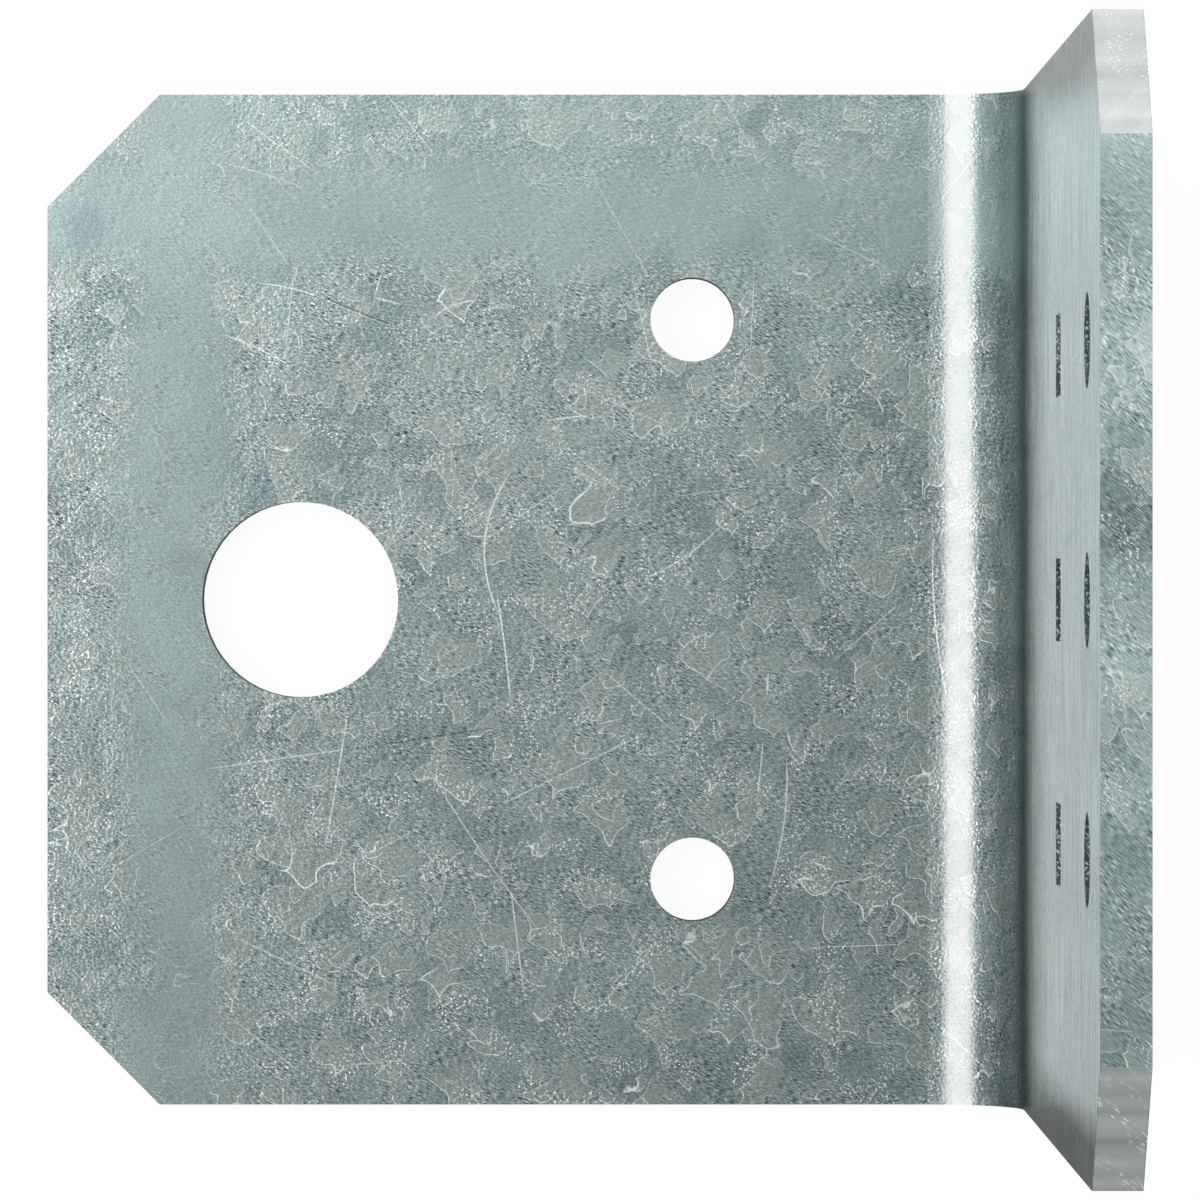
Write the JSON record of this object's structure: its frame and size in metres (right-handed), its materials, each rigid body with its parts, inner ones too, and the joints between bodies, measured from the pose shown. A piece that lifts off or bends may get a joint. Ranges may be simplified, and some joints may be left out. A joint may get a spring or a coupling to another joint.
{
  "type": "steel stud clip",
  "caption": "Right-angle folded galvanised steel clip with cut corners: an anchor hole and screw holes in the base leg, square and round fastener holes in the longer stud leg.",
  "frame": {"origin": "centre of the anchor hole, on the underside of the base leg", "axes": "+Z along the anchor hole, up from the underside, the way the stud leg rises; +X from the anchor hole towards the stud leg; +Y along the fold"},
  "size_m": [0.0575, 0.0572, 0.0762],
  "materials": {
    "galvanised_sheet": "hot-dip galvanised, mottled grey with fine grain, flakes and scratches"
  },
  "bodies": {
    "root": {"stud_clip": "galvanised_sheet"}
  },
  "joints": []
}
